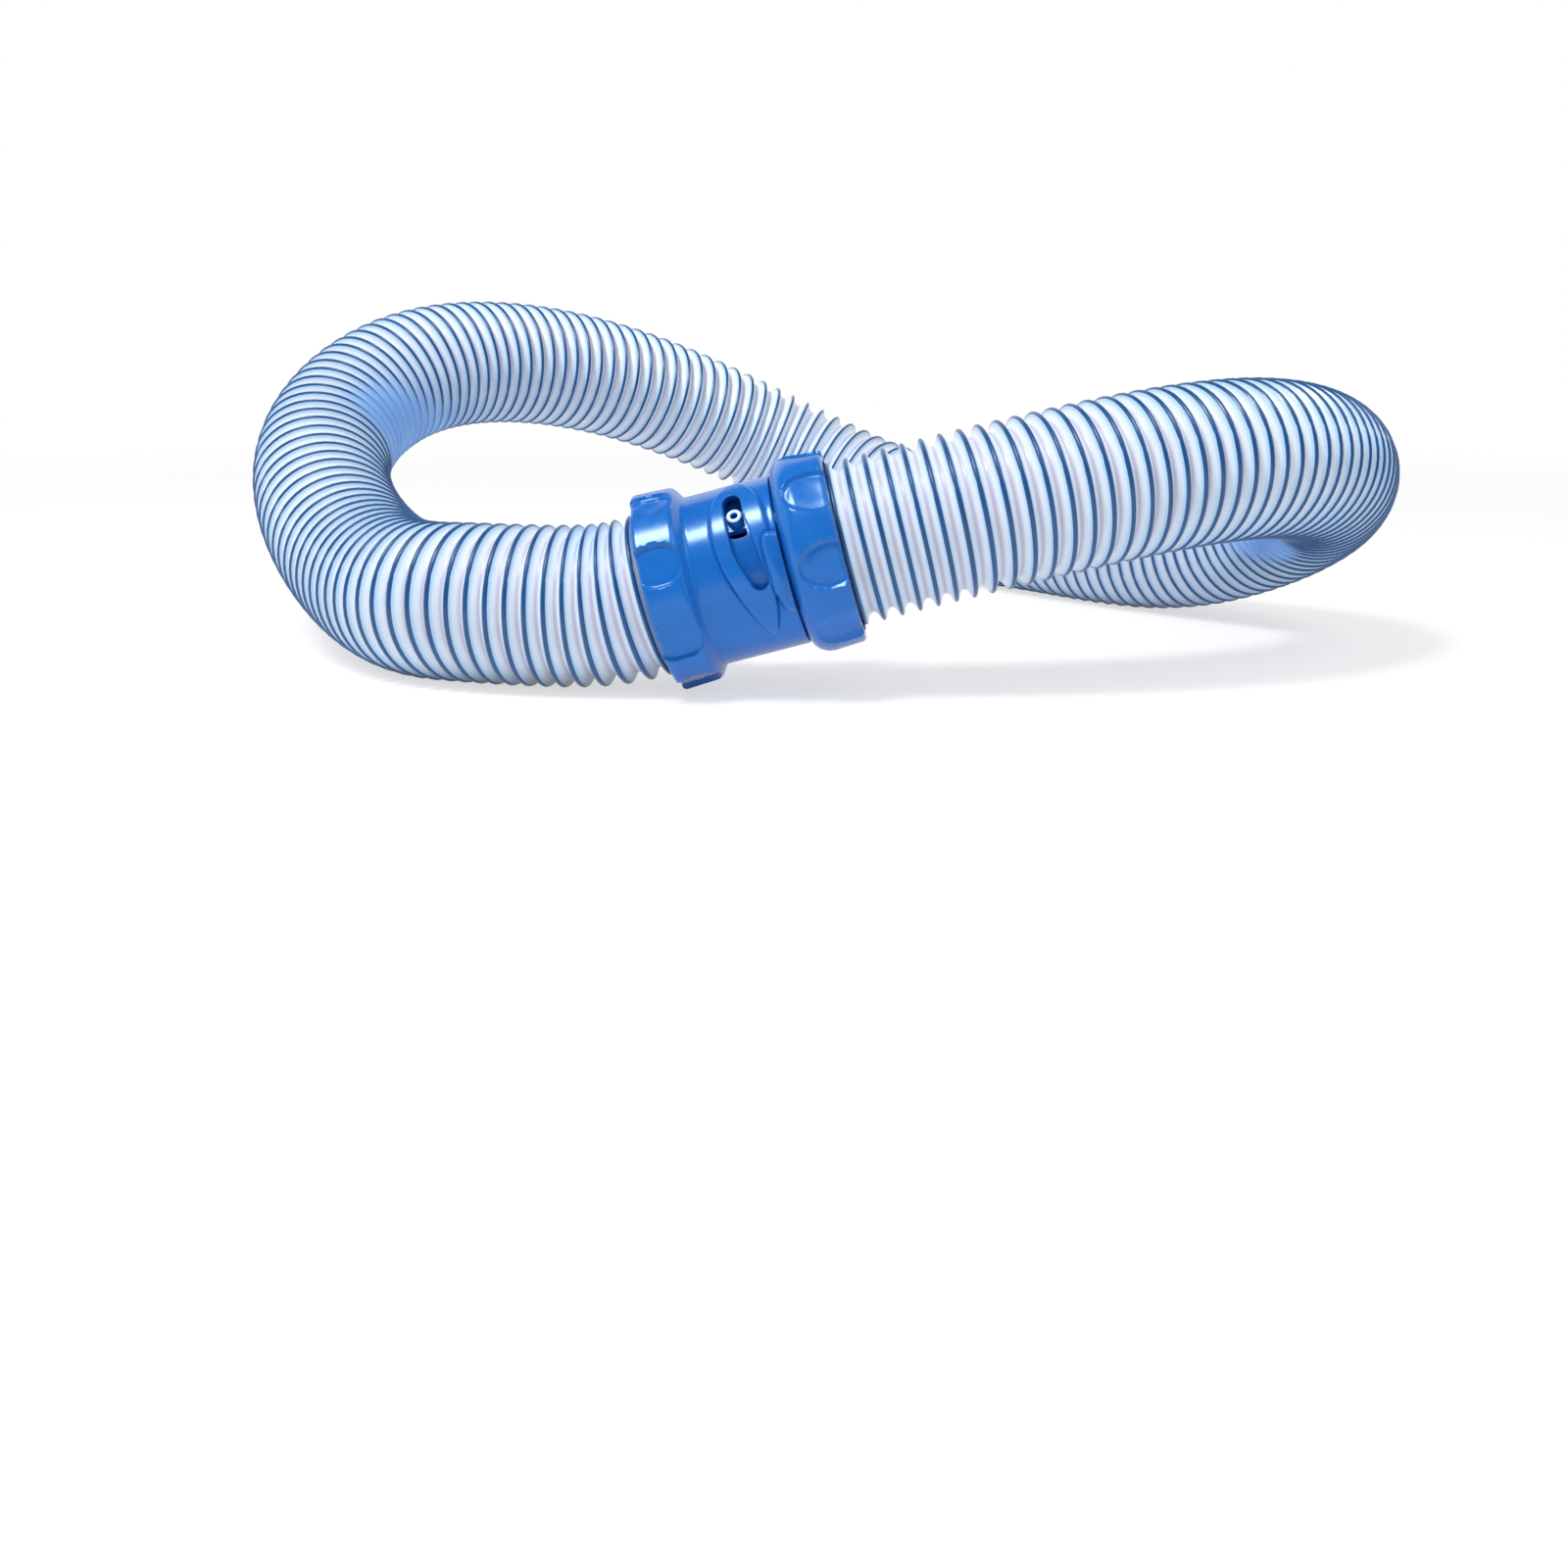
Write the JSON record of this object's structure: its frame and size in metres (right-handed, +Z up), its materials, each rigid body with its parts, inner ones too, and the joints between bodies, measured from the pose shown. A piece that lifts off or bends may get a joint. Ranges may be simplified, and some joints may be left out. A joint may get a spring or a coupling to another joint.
{
  "type": "pool vacuum hose",
  "caption": "Ribbed pool vacuum hose section closed into a ring, its male cuff twist-locked in its female cuff, with a swivel behind the male cuff.",
  "frame": {"origin": "middle of the underside of the whole ring, on the floor that it rests on", "axes": "+X the longest way across the ring, from the female cuff's side to the male cuff's side; +Y away from the coupling; +Z up"},
  "size_m": [0.3876, 0.3185, 0.1113],
  "materials": {
    "hose": "gloss",
    "cuff": "gloss",
    "sleeve": "satin",
    "seal": "matt",
    "spring_steel": "bright"
  },
  "bodies": {
    "hose_and_socket": {"corrugated_hose": "hose", "female_cuff": "cuff", "female_sleeve": "sleeve"},
    "swivel": {"swivel_sleeve": "sleeve", "swivel_snap_ring": "spring_steel", "swivel_seal_ring": "seal"},
    "male_end": {"male_cuff": "cuff", "lock_pegs": "cuff", "spigot_seal_ring": "seal"}
  },
  "joints": [
    {"name": "lock_travel", "type": "slide", "parent": "hose_and_socket", "child": "swivel", "axis": [0.965, -0.0421, 0.2588], "range_m": [0, 0.003]},
    {"name": "lock_twist", "type": "hinge", "parent": "swivel", "child": "male_end", "pos_m": [-0.0147, -0.1305, 0.0345], "axis": [0.965, -0.0421, 0.2588], "range_deg": [0, 47]}
  ],
  "couplings": [
    {"joint": "lock_twist", "follows": "lock_travel", "rad_per_m": 273.43}
  ]
}
